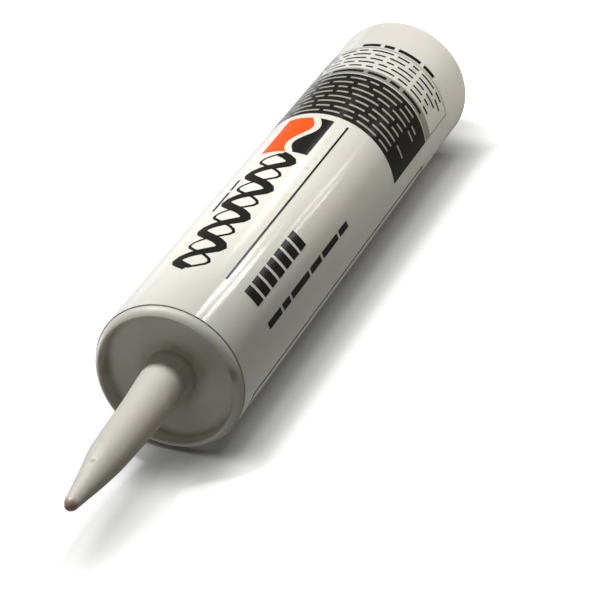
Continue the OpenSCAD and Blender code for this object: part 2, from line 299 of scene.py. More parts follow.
class Graph:
    """Places nodes in one shader tree and joins them."""

    def __init__(self, tree: bpy.types.NodeTree) -> None:
        """Takes the tree to build in.

        Args:
            tree: A material's, group's or world's tree.
        """
        self.tree = tree

    def add(self, kind: str, inputs: dict[Union[str, int], Value], **settings: Any) -> bpy.types.Node:
        """Adds a node.

        Args:
            kind: The node's type, without its leading ShaderNode.
            inputs: Values or sockets for its inputs, by name or number.
            settings: The node's own settings.

        Returns:
            The node.
        """
        node = self.tree.nodes.new("ShaderNode" + kind)
        for name, value in settings.items():
            setattr(node, name, value)
        for name, value in inputs.items():
            self.feed(node.inputs[name], value)
        return node

    def feed(self, socket: Socket, value: Value) -> None:
        """Joins a socket to another one, or sets its value.

        Args:
            socket: The input.
            value: A socket, a number or a vector.
        """
        if isinstance(value, Socket):
            self.tree.links.new(value, socket)
        elif socket.type == "RGBA" and len(value) == 3:
            socket.default_value = (*value, 1.0)
        else:
            socket.default_value = value

    def maths(self, operation: str, a: Value, b: Value = 0.0, clamp: bool = False) -> Socket:
        """Works out one number from two.

        Args:
            operation: Blender's name for it.
            a: The first number.
            b: The second.
            clamp: Whether the result stays between 0 and 1.

        Returns:
            The result's socket.
        """
        return self.add("Math", {0: a, 1: b}, operation=operation, use_clamp=clamp).outputs[0]

    def times(self, *values: Value) -> Socket:
        """Multiplies numbers."""
        return reduce(lambda a, b: self.maths("MULTIPLY", a, b), values)

    def most(self, *values: Value) -> Socket:
        """Gives the greatest of some numbers."""
        return reduce(lambda a, b: self.maths("MAXIMUM", a, b), values)

    def plus(self, a: Value, b: Value) -> Socket:
        """Adds two numbers."""
        return self.maths("ADD", a, b)

    def minus(self, a: Value, b: Value) -> Socket:
        """Takes the second number from the first."""
        return self.maths("SUBTRACT", a, b)

    def vector(self, operation: str, a: Value, b: Value = (0.0, 0.0, 0.0)) -> Socket:
        """Works out a vector from two, or from the first alone."""
        return self.add("VectorMath", {0: a, 1: b}, operation=operation).outputs["Vector"]

    def measure(self, operation: str, a: Value, b: Value = (0.0, 0.0, 0.0)) -> Socket:
        """Works out a number from two vectors, or from the first alone."""
        return self.add("VectorMath", {0: a, 1: b}, operation=operation).outputs["Value"]

    def fade(self, value: Value, start: Value, end: Value, low: float = 0.0, high: float = 1.0) -> Socket:
        """Fades smoothly from low to high while a value goes from start to end.

        Args:
            value: The value to read.
            start: Where the fade starts.
            end: Where it ends.
            low: The result before the start.
            high: The result after the end.

        Returns:
            The result's socket.
        """
        inputs = {"Value": value, 1: start, 2: end, 3: low, 4: high}
        return self.add("MapRange", inputs, interpolation_type="SMOOTHSTEP").outputs[0]

    def noise(self, vector: Value, scale: Value, detail: float = 2.0, roughness: float = 0.5) -> Socket:
        """Makes soft noise between 0 and 1 at a scale per metre.

        Args:
            vector: The place to read it at.
            scale: Number of blots per metre.
            detail: Number of finer layers.
            roughness: How strong those are.

        Returns:
            The noise's socket.
        """
        inputs = {"Vector": vector, "Scale": scale, "Detail": detail, "Roughness": roughness}
        return self.add("TexNoise", inputs).outputs[0]

    def blend(self, share: Value, a: Value, b: Value) -> Socket:
        """Mixes two colours.

        Args:
            share: The share of the second colour.
            a: The first colour.
            b: The second.

        Returns:
            The mixed colour's socket.
        """
        node = self.add("Mix", {0: share}, data_type="RGBA", clamp_factor=True)
        self.feed(node.inputs[MIX_A], a)
        self.feed(node.inputs[MIX_B], b)
        return node.outputs[MIX_RESULT]

    def place(self) -> Socket:
        """Gives the point on the piece, in metres, which moves with the piece."""
        return self.add("TexCoord", {}).outputs["Object"]


class Effect(Enum):
    """The effects that more than one material uses, by the names of their node groups."""

    AXIS = "place_about_axis"
    GRAIN = "moulded_grain"
    SOIL = "handling_soil"
    SPOT = "soft_spot"


@dataclass(frozen=True)
class SocketPlan:
    """One input or output of a node group."""

    name: str
    kind: str = "Float"
    value: Any = None

    def add_to(self, tree: bpy.types.NodeTree, way: str) -> None:
        """Makes the socket.

        Args:
            tree: The group's tree.
            way: INPUT or OUTPUT.
        """
        made = tree.interface.new_socket(self.name, in_out=way, socket_type="NodeSocket" + self.kind)
        if self.value is not None:
            made.default_value = self.value


@dataclass
class Effects:
    """Builds each shared effect once and places its node group."""

    coarse_scale: float = 0.12
    coarse_share: float = 0.6
    cloud_edge: Pair = (0.42, 0.7)
    fleck_choice: Pair = (0.93, 0.95)
    fleck_edge: Pair = (0.10, 0.22)
    built: dict[Effect, bpy.types.NodeTree] = field(default_factory=dict)

    def place(self, graph: Graph, effect: Effect, inputs: dict[str, Value]) -> bpy.types.Node:
        """Places an effect's node group in a material, and builds the group on its first use.

        Args:
            graph: The material's graph.
            effect: The effect.
            inputs: Values or sockets for the group's inputs.

        Returns:
            The group's node.
        """
        if effect not in self.built:
            makers = {
                Effect.AXIS: self._axis,
                Effect.GRAIN: self._grain,
                Effect.SOIL: self._soil,
                Effect.SPOT: self._spot,
            }
            self.built[effect] = makers[effect]()
        return graph.add("Group", inputs, node_tree=self.built[effect])

    def _start(
        self, effect: Effect, inputs: Sequence[SocketPlan], outputs: Sequence[SocketPlan]
    ) -> tuple[Graph, bpy.types.Node, bpy.types.Node]:
        """Starts a node group with its sockets.

        Args:
            effect: The effect that it is for.
            inputs: Its inputs.
            outputs: Its outputs.

        Returns:
            The group's graph, and its input and output nodes.
        """
        tree = bpy.data.node_groups.new(effect.value, "ShaderNodeTree")
        for plan in inputs:
            plan.add_to(tree, "INPUT")
        for plan in outputs:
            plan.add_to(tree, "OUTPUT")
        graph = Graph(tree)
        return graph, tree.nodes.new("NodeGroupInput"), tree.nodes.new("NodeGroupOutput")

    def _axis(self) -> bpy.types.NodeTree:
        """Builds the group that gives a point's distance from the axis, its height and its radial normal.

        Returns:
            The group's tree.
        """
        outputs = [SocketPlan("Radius"), SocketPlan("Height"), SocketPlan("Outwards", "Vector")]
        graph, _, out = self._start(Effect.AXIS, [], outputs)
        split = graph.add("SeparateXYZ", {0: graph.place()})
        flat = graph.add("CombineXYZ", {0: split.outputs[0], 1: split.outputs[1]}).outputs[0]
        graph.feed(out.inputs["Radius"], graph.times(graph.measure("LENGTH", flat), 1 / MM))
        graph.feed(out.inputs["Height"], graph.times(split.outputs[2], 1 / MM))
        graph.feed(out.inputs["Outwards"], graph.vector("NORMALIZE", flat))
        return graph.tree

    def _grain(self) -> bpy.types.NodeTree:
        """Builds the fine grain of moulded or drawn plastic, stretched along the axis as far as told.

        Returns:
            The group's tree.
        """
        graph, given, out = self._start(
            Effect.GRAIN,
            [SocketPlan("Scale", value=900.0), SocketPlan("Stretch", "Vector", (1.0, 1.0, 1.0))],
            [SocketPlan("Height"), SocketPlan("Cloud")],
        )
        point = graph.vector("MULTIPLY", graph.place(), given.outputs["Stretch"])
        scale = given.outputs["Scale"]
        fine = graph.noise(point, scale, detail=3.0)
        coarse = graph.noise(point, graph.times(scale, self.coarse_scale))
        parts = graph.times(fine, 1 - self.coarse_share), graph.times(coarse, self.coarse_share)
        graph.feed(out.inputs["Height"], graph.plus(*parts))
        graph.feed(out.inputs["Cloud"], coarse)
        return graph.tree

    def _soil(self) -> bpy.types.NodeTree:
        """Builds the faint soil of handling: soft clouds, and a few small flecks.

        Returns:
            The group's tree.
        """
        graph, given, out = self._start(
            Effect.SOIL,
            [SocketPlan("Cloud Scale", value=60.0), SocketPlan("Fleck Scale", value=240.0)],
            [SocketPlan("Cloud"), SocketPlan("Flecks")],
        )
        point = graph.place()
        cloud = graph.noise(point, given.outputs["Cloud Scale"], detail=4.0)
        cells = graph.add("TexVoronoi", {"Vector": point, "Scale": given.outputs["Fleck Scale"]})
        chosen = graph.add("SeparateColor", {0: cells.outputs["Color"]}).outputs[0]
        rare = graph.fade(chosen, *self.fleck_choice)
        small = graph.fade(cells.outputs["Distance"], *self.fleck_edge, *FALLING)
        graph.feed(out.inputs["Cloud"], graph.fade(cloud, *self.cloud_edge))
        graph.feed(out.inputs["Flecks"], graph.times(rare, small))
        return graph.tree

    def _spot(self) -> bpy.types.NodeTree:
        """Builds a soft oval spot about one place.

        Returns:
            The group's tree.
        """
        inputs = [
            SocketPlan("Place", "Vector", (0.0, 0.0, 0.0)),
            SocketPlan("Reach", "Vector", (1.0, 1.0, 1.0)),
            SocketPlan("Core", value=0.4),
        ]
        graph, given, out = self._start(Effect.SPOT, inputs, [SocketPlan("Mask")])
        off = graph.vector("SUBTRACT", graph.place(), given.outputs["Place"])
        far = graph.measure("LENGTH", graph.vector("DIVIDE", off, given.outputs["Reach"]))
        graph.feed(out.inputs["Mask"], graph.fade(far, given.outputs["Core"], 1.0, *FALLING))
        return graph.tree


EFFECTS = Effects()


class Coat:
    """A material in the making: its Principled shader and the graph that feeds it."""

    def __init__(self, name: str) -> None:
        """Starts the material.

        Args:
            name: Name of the material.
        """
        self.material = bpy.data.materials.new(name)
        self.material.use_nodes = True
        self.graph = Graph(self.material.node_tree)
        self.shader = self.material.node_tree.nodes["Principled BSDF"]

    def colour(self, value: Value) -> None:
        """Gives the coat its colour."""
        self.graph.feed(self.shader.inputs["Base Color"], value)

    def roughness(self, cloud: Socket, limits: Pair) -> None:
        """Lets the roughness go from one limit to the other with a soft cloud."""
        self.graph.feed(self.shader.inputs["Roughness"], self.graph.fade(cloud, *CLOUD_RANGE, *limits))

    def bump(self, height: Socket, distance: float, strength: float, normal: Optional[Value] = None) -> None:
        """Bumps the surface by a height.

        Args:
            height: The height, from 0 to 1.
            distance: What a height of 1 stands for, in metres.
            strength: Share of it that is used.
            normal: The normal to start from, if not the mesh's.
        """
        node = self.graph.add("Bump", {"Height": height, "Distance": distance, "Strength": strength})
        if normal is not None:
            self.graph.feed(node.inputs["Normal"], normal)
        self.graph.feed(self.shader.inputs["Normal"], node.outputs[0])

    def set(self, values: dict[str, Any]) -> None:
        """Sets values that are the same all over the surface, by the names of the shader's inputs."""
        for name, value in values.items():
            self.shader.inputs[name].default_value = value


@dataclass(frozen=True)
class BarrelPlastic:
    """Glossy drawn plastic of the barrel, off-white, with faint lines along its length, and painted shade in
    its seam with the cap.

    Beneath the dark panel it is dark too, so that a facet of the ink that lies low shows no pale mark.
    """

    colour: Colour = (0.70, 0.695, 0.665)
    tint: Colour = (0.66, 0.652, 0.61)
    tint_share: float = 0.6
    soil: Colour = (0.42, 0.39, 0.33)
    fleck_share: float = 0.35
    # Painted shade in the seam with the cap: its colour, the heights it covers and its share
    seam_shade: Colour = (0.16, 0.155, 0.14)
    seam: Pair = (212.8, 212.95)
    seam_shade_share: float = 0.65
    roughness: Pair = (0.075, 0.13)
    line_height: float = 0.00002
    line_share: float = 0.6
    bed: Colour = (0.012, 0.012, 0.011)
    bed_rear: Pair = (45.6, 45.8)
    bed_front: Pair = (76.7, 76.9)
    bed_middle: float = -62.5
    bed_reach: float = 76.0
    bed_softness: float = 0.01

    def build(self) -> bpy.types.Material:
        """Makes the material.

        Returns:
            The material.
        """
        coat = Coat(Slot.BARREL.value)
        graph = coat.graph
        lines = EFFECTS.place(graph, Effect.GRAIN, {"Scale": 700.0, "Stretch": DRAWN})
        orange_peel = EFFECTS.place(graph, Effect.GRAIN, {"Scale": 420.0, "Stretch": (1.0, 1.0, 0.5)})
        soil = EFFECTS.place(graph, Effect.SOIL, {"Cloud Scale": 35.0, "Fleck Scale": 130.0})
        axis = EFFECTS.place(graph, Effect.AXIS, {})
        base = graph.blend(graph.times(soil.outputs["Cloud"], self.tint_share), self.colour, self.tint)
        base = graph.blend(graph.times(soil.outputs["Flecks"], self.fleck_share), base, self.soil)
        # Painted shade darkens the barrel's end face in the seam under the cap
        seam = graph.fade(axis.outputs["Height"], *self.seam, 0.0, self.seam_shade_share)
        base = graph.blend(seam, base, self.seam_shade)
        bed = self._bed(graph, axis.outputs["Height"], axis.outputs["Outwards"])
        coat.colour(graph.blend(bed, base, self.bed))
        coat.roughness(lines.outputs["Cloud"], self.roughness)
        fine = graph.times(lines.outputs["Height"], self.line_share)
        broad = graph.times(orange_peel.outputs["Cloud"], 1 - self.line_share)
        coat.bump(graph.plus(fine, broad), self.line_height, strength=0.5)
        coat.set({"Subsurface Weight": 0.15, "Subsurface Scale": 0.0015})
        return coat.material

    def _bed(self, graph: Graph, height: Socket, outwards: Socket) -> Socket:
        """Masks the barrel beneath the dark panel.

        Args:
            graph: The material's graph.
            height: The height above the rear rim, in mm.
            outwards: The direction away from the axis.

        Returns:
            The mask, 1 beneath the panel.
        """
        facing = graph.measure("DOT_PRODUCT", outwards, direction(self.bed_middle, 0))
        edge = math.cos(math.radians(self.bed_reach))
        beside = graph.fade(facing, edge, edge + self.bed_softness)
        behind = graph.fade(height, *self.bed_rear)
        before = graph.fade(height, *self.bed_front, *FALLING)
        return graph.times(beside, behind, before)


@dataclass(frozen=True)
class Mark:
    """A soft dark mark: its place and reach in mm, and its strength."""

    place: tuple[float, float, float]
    reach: tuple[float, float, float]
    strength: float

    def mask(self, graph: Graph) -> Socket:
        """Masks the mark in a material's graph.

        Args:
            graph: The material's graph.

        Returns:
            The mask's socket.
        """
        where = tuple(part * MM for part in self.place)
        reach = tuple(part * MM for part in self.reach)
        spot = EFFECTS.place(graph, Effect.SPOT, {"Place": where, "Reach": reach, "Core": 0.2})
        return graph.times(spot.outputs["Mask"], self.strength)


@dataclass(frozen=True)
class CapPlastic:
    """Natural plastic of the end cap: greyer, a little milky, soiled in its recess and stained on its tip,
    with painted shade on its tip, in its dent and at the nozzle's root, and a painted dark reflection on its
    rim.

    Heights are above the rear rim and radii from the axis, in mm.
    """

    colour: Colour = (0.60, 0.59, 0.54)
    tint: Colour = (0.53, 0.51, 0.45)
    tint_share: float = 0.8
    soil: Colour = (0.26, 0.21, 0.15)
    fleck_share: float = 0.15
    soil_and_shade_marks: tuple[Mark, ...] = (
        # Painted shade in the dent on the nozzle
        Mark((2.36, -3.55, 268.9), (1.5, 1.5, 1.2), 0.45),
        # A painted dark reflection on the rim's crown
        Mark((-14.6, -18.0, 215.8), (4.2, 3.6, 1.6), 0.6),
        # Brown soil low on the recess's inner wall, in this mark and the next
        Mark((17.0, 12.8, 213.0), (4.5, 5.5, 3.0), 0.35),
        Mark((21.3, 1.0, 213.0), (2.5, 6.5, 3.0), 0.35),
    )
    recess_height: Pair = (211.5, 214.5)
    recess_edge: Pair = (22.9, 23.2)
    corner: Pair = (19.0, 22.0)
    corner_soil: Pair = (0.05, 0.42)
    # Painted shade round the nozzle's root: where it fades and how dark it is
    root: Pair = (8.5, 14.0)
    root_shade: float = 0.55
    least_soil_and_shade: float = 0.55
    pale: Colour = (0.80, 0.79, 0.75)
    scuff_start: Pair = (262.0, 272.0)
    scuff_end: Pair = (280.0, 285.0)
    scuff_stretch: tuple[float, float, float] = (1.0, 1.0, 0.25)
    scuff_edge: Pair = (0.62, 0.72)
    scuff_share: float = 0.35
    # A brown stain and painted shade on the tip's end
    tip_stain_and_shade: Colour = (0.24, 0.16, 0.10)
    stain_and_shade_height: Pair = (285.0, 287.6)
    stain_and_shade_ragged: float = 1.6
    stain_and_shade_share: float = 0.8
    roughness: Pair = (0.34, 0.5)
    grain_height: float = 0.00004

    def build(self) -> bpy.types.Material:
        """Makes the material.

        Returns:
            The material.
        """
        coat = Coat(Slot.CAP.value)
        graph = coat.graph
        axis = EFFECTS.place(graph, Effect.AXIS, {})
        radius, height = axis.outputs["Radius"], axis.outputs["Height"]
        grain = EFFECTS.place(graph, Effect.GRAIN, {"Scale": 900.0})
        soil = EFFECTS.place(graph, Effect.SOIL, {"Cloud Scale": 140.0, "Fleck Scale": 260.0})
        base = graph.blend(graph.times(grain.outputs["Cloud"], self.tint_share), self.colour, self.tint)
        # Soil round the recess, and painted shade round the nozzle's root
        base = graph.blend(self._recess_soil_and_root_shade(graph, radius, height, soil.outputs["Cloud"]), base, self.soil)
        base = graph.blend(graph.times(soil.outputs["Flecks"], self.fleck_share), base, self.soil)
        # The marks: painted shade in the dent, a painted dark reflection on the rim, and soil on the inner
        # wall
        for mark in self.soil_and_shade_marks:
            base = graph.blend(mark.mask(graph), base, self.soil)
        base = graph.blend(self._scuffs(graph, height), base, self.pale)
        # A brown stain with painted shade on the tip's end
        ragged = graph.plus(height, graph.times(grain.outputs["Cloud"], self.stain_and_shade_ragged))
        stain_and_shade = graph.fade(ragged, *self.stain_and_shade_height, 0.0, self.stain_and_shade_share)
        coat.colour(graph.blend(stain_and_shade, base, self.tip_stain_and_shade))
        coat.roughness(grain.outputs["Height"], self.roughness)
        coat.bump(grain.outputs["Height"], self.grain_height, strength=0.6)
        coat.set({"Subsurface Weight": 0.3, "Subsurface Scale": 0.003})
        return coat.material

    def _recess_soil_and_root_shade(self, graph: Graph, radius: Socket, height: Socket, cloud: Socket) -> Socket:
        """Masks the soil that gathers round the recess, and the painted shade round the nozzle's root.

        Args:
            graph: The material's graph.
            radius: Distance from the axis, in mm.
            height: Height above the rear rim, in mm.
            cloud: Soft clouds that break the soil up.

        Returns:
            The mask's socket.
        """
        below_rim = graph.fade(height, *self.recess_height, *FALLING)
        inside = graph.fade(radius, *self.recess_edge, *FALLING)
        corner = graph.fade(radius, *self.corner, *self.corner_soil)
        root = graph.fade(radius, *self.root, self.root_shade, 0.0)
        broken = graph.times(graph.most(corner, root), graph.fade(cloud, 0.0, 1.0, self.least_soil_and_shade, 1.0))
        return graph.times(below_rim, inside, broken)

    def _scuffs(self, graph: Graph, height: Socket) -> Socket:
        """Masks the pale scuffs on the nozzle below its tip.

        Args:
            graph: The material's graph.
            height: Height above the rear rim, in mm.

        Returns:
            The mask's socket.
        """
        stretched = graph.vector("MULTIPLY", graph.place(), self.scuff_stretch)
        specks = graph.noise(stretched, scale=900.0, detail=3.0, roughness=0.65)
        scuffs = graph.fade(specks, *self.scuff_edge)
        above, below = graph.fade(height, *self.scuff_start), graph.fade(height, *self.scuff_end, *FALLING)
        return graph.times(scuffs, above, below, self.scuff_share)


@dataclass(frozen=True)
class PlungerPlastic:
    """Plain moulded plastic of the plunger."""

    colour: Colour = (0.72, 0.715, 0.69)
    tint: Colour = (0.64, 0.63, 0.59)
    roughness: Pair = (0.38, 0.52)
    grain_height: float = 0.00004

    def build(self) -> bpy.types.Material:
        """Makes the material.

        Returns:
            The material.
        """
        coat = Coat(Slot.PLUNGER.value)
        grain = EFFECTS.place(coat.graph, Effect.GRAIN, {"Scale": 700.0})
        soil = EFFECTS.place(coat.graph, Effect.SOIL, {"Cloud Scale": 70.0, "Fleck Scale": 200.0})
        coat.colour(coat.graph.blend(soil.outputs["Cloud"], self.colour, self.tint))
        coat.roughness(grain.outputs["Height"], self.roughness)
        coat.bump(grain.outputs["Height"], self.grain_height, strength=0.5)
        coat.set({"Subsurface Weight": 0.15, "Subsurface Scale": 0.002})
        return coat.material


@dataclass(frozen=True)
class Paste:
    """The sealant: smooth cream paste."""

    colour: Colour = (0.83, 0.78, 0.66)
    darker: float = 0.93
    cloud_edge: Pair = (0.4, 0.6)
    roughness: Pair = (0.3, 0.42)
    wave_height: float = 0.0005

    def build(self) -> bpy.types.Material:
        """Makes the material.

        Returns:
            The material.
        """
        coat = Coat(Slot.PASTE.value)
        graph = coat.graph
        cloud = graph.noise(graph.place(), scale=60.0, detail=3.0)
        clouds = graph.fade(cloud, *self.cloud_edge)
        coat.colour(graph.blend(clouds, self.colour, dimmed(self.colour, self.darker)))
        coat.roughness(cloud, self.roughness)
        coat.bump(cloud, self.wave_height, strength=0.4)
        coat.set({"Subsurface Weight": 0.3, "Subsurface Scale": 0.003})
        return coat.material


@dataclass(frozen=True)
class Foil:
    """The thin foil under the cap, faintly crinkled."""

    colour: Colour = (0.83, 0.83, 0.83)
    darker: float = 0.85
    roughness: Pair = (0.25, 0.4)
    fold_height: float = 0.0003

    def build(self) -> bpy.types.Material:
        """Makes the material.

        Returns:
            The material.
        """
        coat = Coat(Slot.FOIL.value)
        graph = coat.graph
        point = graph.place()
        folds = graph.add("TexVoronoi", {"Vector": point, "Scale": 500.0}, feature="F1").outputs["Distance"]
        clouds = graph.noise(point, scale=300.0)
        coat.colour(graph.blend(clouds, self.colour, dimmed(self.colour, self.darker)))
        coat.roughness(graph.noise(point, scale=500.0), self.roughness)
        coat.bump(folds, self.fold_height, strength=0.5)
        coat.set({"Metallic": 1.0})
        return coat.material


@dataclass(frozen=True)
class Ink:
    """Printing ink on the barrel: an even coat, a little uneven in its density."""

    name: str
    colour: Colour
    thin: Colour
    thin_edge: Pair = (0.52, 0.72)
    thin_share: float = 0.5
    roughness: Pair = (0.15, 0.22)
    line_height: float = 0.00002

    def build(self) -> bpy.types.Material:
        """Makes the material.

        Returns:
            The material.
        """
        coat = Coat(self.name)
        graph = coat.graph
        outwards = EFFECTS.place(graph, Effect.AXIS, {}).outputs["Outwards"]
        grain = EFFECTS.place(graph, Effect.GRAIN, {"Scale": 1500.0})
        lines = EFFECTS.place(graph, Effect.GRAIN, {"Scale": 700.0, "Stretch": DRAWN})
        thinner = graph.fade(grain.outputs["Height"], *self.thin_edge, 0.0, self.thin_share)
        coat.colour(graph.blend(thinner, self.colour, self.thin))
        coat.roughness(lines.outputs["Cloud"], self.roughness)
        coat.bump(lines.outputs["Height"], self.line_height, strength=0.4, normal=outwards)
        return coat.material


# The part


@dataclass
class Barrel:
    """The plain barrel, open at the rear."""

    outer_r: float = 24.94
    bore_r: float = 23.5
    length: float = 213.0
    edge_round: float = 0.42
    front_round: float = 0.12
    inner_round: float = 0.3
    segments: int = 192
    finish: BarrelPlastic = field(default_factory=BarrelPlastic)

    def build(self) -> None:
        """Builds the barrel and dresses it."""
        outline = Outline((
            Corner(self.bore_r, 0, self.inner_round),
            Corner(self.outer_r, 0, self.edge_round),
            Corner(self.outer_r, self.length, self.front_round),
            Corner(self.bore_r, self.length),
        ))
        piece = turned("barrel_shell", outline, self.segments)
        piece.data.materials.append(self.finish.build())
        place(piece, Body.TUBE, Slot.BARREL, "barrel")


@dataclass(frozen=True)
class Dent:
    """A small dent in the nozzle with a faint lip: its place, reach and depth in mm.

    The lip's width is a share of the reach, and its height a share of the depth.
    """

    place: tuple[float, float, float]
    reach: float
    depth: float
    lip_width: float = 0.6
    lip_height: float = 0.25

    def push(self, point: Vector) -> float:
        """Says how far a point goes in.

        Args:
            point: The point, in mm.

        Returns:
            The way inwards in mm, below 0 on the lip.
        """
        far = (point - Vector(self.place)).length / self.reach
        if far > 1 + self.lip_width:
            return 0.0
        if far < 1:
            return self.depth * (1 - far * far)
        return -self.lip_height * self.depth * math.sin(math.pi * (far - 1) / self.lip_width)


@dataclass
class EndCap:
    """The end cap and nozzle, one moulding: a rim, a recessed floor and the closed nozzle."""

    seat: float = 213.0
    rim_r: float = 24.6
    rim_top: float = 216.5
    crown_r: float = 21.0
    mouth_r: float = 22.3
    mouth_round: float = 0.4
    floor_r: float = 21.6
    floor_top: float = 211.2
    floor_bottom: float = 209.5
    plug_r: float = 23.45
    root_r: float = 8.0
    middle_r: float = 6.8
    middle: float = 237.0
    shoulder_r: float = 5.8
    shoulder: float = 261.0
    tip_r: float = 2.4
    tip_base: float = 284.0
    tip: float = 287.9
    wall: float = 1.3
    shoulder_round: float = 70.0
    middle_round: float = 200.0
    root_round: float = 0.7
    floor_round: float = 1.0
    seat_round: float = 0.18
    dome_step: float = 6.0
    dome_points: int = 15
    crown_end: float = 84.0
    crown_points: int = 12
    lean: float = 0.38
    bend: float = 0.28
    bend_length: float = 12.0
    segments: int = 160
    dents: tuple[Dent, ...] = (
        Dent((2.36, -3.55, 268.9), 1.2, 0.2),
        Dent((2.36, -3.0, 271.6), 0.8, 0.06),
    )
    finish: CapPlastic = field(default_factory=CapPlastic)

    def build(self) -> None:
        """Builds the cap and dresses it."""
        piece = turned(CAP_NAME, self._outline(), self.segments, self._worn)
        piece.data.materials.append(self.finish.build())
        place(piece, Body.TUBE, Slot.CAP, "end_cap")

    def _outline(self) -> Outline:
        """Gives the cap's outline, from the tip down its outside and back up the nozzle's hollow.

        Returns:
            The outline.
        """
        return Outline(
            (
                *self._dome(),
                Corner(self.shoulder_r, self.shoulder, self.shoulder_round),
                Corner(self.middle_r, self.middle, self.middle_round),
                Corner(self.root_r, self.floor_top, self.root_round),
                Corner(self.floor_r, self.floor_top, self.floor_round),
                Corner(self.mouth_r, self.rim_top, self.mouth_round),
                *self._crown(),
                Corner(self.rim_r, self.seat, self.seat_round),
                Corner(self.plug_r, self.seat),
                Corner(self.plug_r, self.floor_bottom),
                Corner(self.root_r - self.wall, self.floor_bottom),
                Corner(self.middle_r - self.wall, self.middle),
                Corner(self.shoulder_r - self.wall, self.shoulder),
                Corner(self.tip_r - self.wall / 2, self.tip_base - self.wall),
                Corner(0, self.tip_base + self.wall / 2),
            ),
            closed=False,
            longest_step=0.45,
            edge_step=0.2,
        )

    def _dome(self) -> list[Corner]:
        """Rounds the nozzle's closed tip, from the axis down to its side.

        Returns:
            The corners of the rounding.
        """
        rise = self.tip - self.tip_base
        steps = [math.radians(self.dome_step * k) for k in range(self.dome_points)]
        return [Corner(self.tip_r * math.sin(a), self.tip_base + rise * math.cos(a)) for a in steps]

    def _crown(self) -> list[Corner]:
        """Rounds the rim from its mouth down to its side, as part of an ellipse.

        Returns:
            The corners of the rounding.
        """
        across = self.rim_r - self.crown_r
        inner = math.asin((self.mouth_r - self.crown_r) / across)
        height = (self.rim_top - self.seat) / math.cos(inner)
        sweep = math.radians(self.crown_end) - inner
        steps = [inner + sweep * k / self.crown_points for k in range(1, self.crown_points + 1)]
        return [Corner(self.crown_r + across * math.sin(a), self.seat + height * math.cos(a)) for a in steps]

    def _worn(self, point: Vector) -> Vector:
        """Presses the dents into the nozzle, and leans it a little to one side, and its end a little more.

        Args:
            point: A point of the mesh, in mm.

        Returns:
            The point's new place.
        """
        lower = softly((point.z - self.rim_top) / (self.middle - self.rim_top))
        upper = softly((point.z - self.shoulder) / self.bend_length)
        leant = point - Vector((self.lean * lower + self.bend * upper, 0, 0))
        if point.z < self.shoulder or point.xy.length < ON_AXIS:
            return leant
        inwards = Vector((-point.x, -point.y, 0)).normalized()
        return leant + inwards * sum(dent.push(leant) for dent in self.dents)


@dataclass
class Plunger:
    """The plunger, a cup that opens to the rear."""

    r: float = 23.42
    relief: float = 0.5
    land: float = 4.0
    wall: float = 1.6
    front: float = 2.0
    bottom: float = 17.0
    top: float = 35.0
    edge_round: float = 0.6
    land_round: float = 0.3
    mouth_round: float = 0.5
    hollow_round: float = 1.0
    segments: int = 160
    finish: PlungerPlastic = field(default_factory=PlungerPlastic)

    def build(self) -> None:
        """Builds the plunger and dresses it."""
        waist = self.r - self.relief
        inner = waist - self.wall
        outline = Outline(
            (
                Corner(0, self.top),
                Corner(self.r, self.top, self.edge_round),
                Corner(self.r, self.top - self.land, self.land_round),
                Corner(waist, self.top - self.land - self.relief, self.land_round),
                Corner(waist, self.bottom + self.land + self.relief, self.land_round),
                Corner(self.r, self.bottom + self.land, self.land_round),
                Corner(self.r, self.bottom, self.land_round),
                Corner(inner, self.bottom, self.mouth_round),
                Corner(inner, self.top - self.front, self.hollow_round),
                Corner(0, self.top - self.front),
            ),
            closed=False,
            longest_step=3.0,
            edge_step=0.2,
        )
        piece = turned("plunger_cup", outline, self.segments)
        piece.data.materials.append(self.finish.build())
        place(piece, Body.PLUNGER, Slot.PLUNGER, "plunger")


@dataclass
class Sealant:
    """The paste between the plunger and the cap."""

    r: float = 23.4
    bottom: float = 35.1
    top: float = 209.25
    left: float = 0.0013
    segments: int = 96
    finish: Paste = field(default_factory=Paste)

    def build(self) -> None:
        """Builds the paste and dresses it."""
        places = ((0, self.top), (self.r, self.top), (self.r, self.bottom), (0, self.bottom))
        outline = Outline(tuple(Corner(r, z) for r, z in places), closed=False, longest_step=20.0)
        piece = turned("sealant_fill", outline, self.segments)
        piece.data.materials.append(self.finish.build())
        place(piece, Body.TUBE, Slot.PASTE, "sealant")
        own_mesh(piece)


@dataclass
class Printing:
    """The ink fields, whose solids are right as they are, and the foil under the cap."""

    inks: dict[str, Ink] = field(default_factory=lambda: {
        "print_black": Ink("black_ink", (0.010, 0.010, 0.009), (0.022, 0.022, 0.020)),
        "print_grey": Ink("grey_ink", (0.30, 0.305, 0.275), (0.36, 0.365, 0.33)),
        "print_pale": Ink("pale_ink", (0.36, 0.36, 0.335), (0.28, 0.28, 0.26)),
        "print_orange": Ink("orange_ink", (0.74, 0.088, 0.008), (0.80, 0.13, 0.02)),
    })
    foil: Foil = field(default_factory=Foil)

    def build(self) -> None:
        """Dresses the ink and the foil."""
        for node, ink in self.inks.items():
            self._dress(node, ink.build())
        self._dress("inner_seal", self.foil.build())

    def _dress(self, node: str, material: bpy.types.Material) -> None:
        """Gives a CAD node its material.

        Args:
            node: The node's name.
            material: The material.
        """
        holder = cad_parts[node]
        for slot in holder.material_slots:
            slot.material = material
        LOG.info("%s keeps its solid, dressed in %s", node, material.name)


# Ground, light and camera


class Lit(Enum):
    """What a lamp lights."""

    BARREL = "lit_barrel"
    CAP = "lit_cap"
    GROUND = "lit_ground"
    FLOOR = "lit_floor"


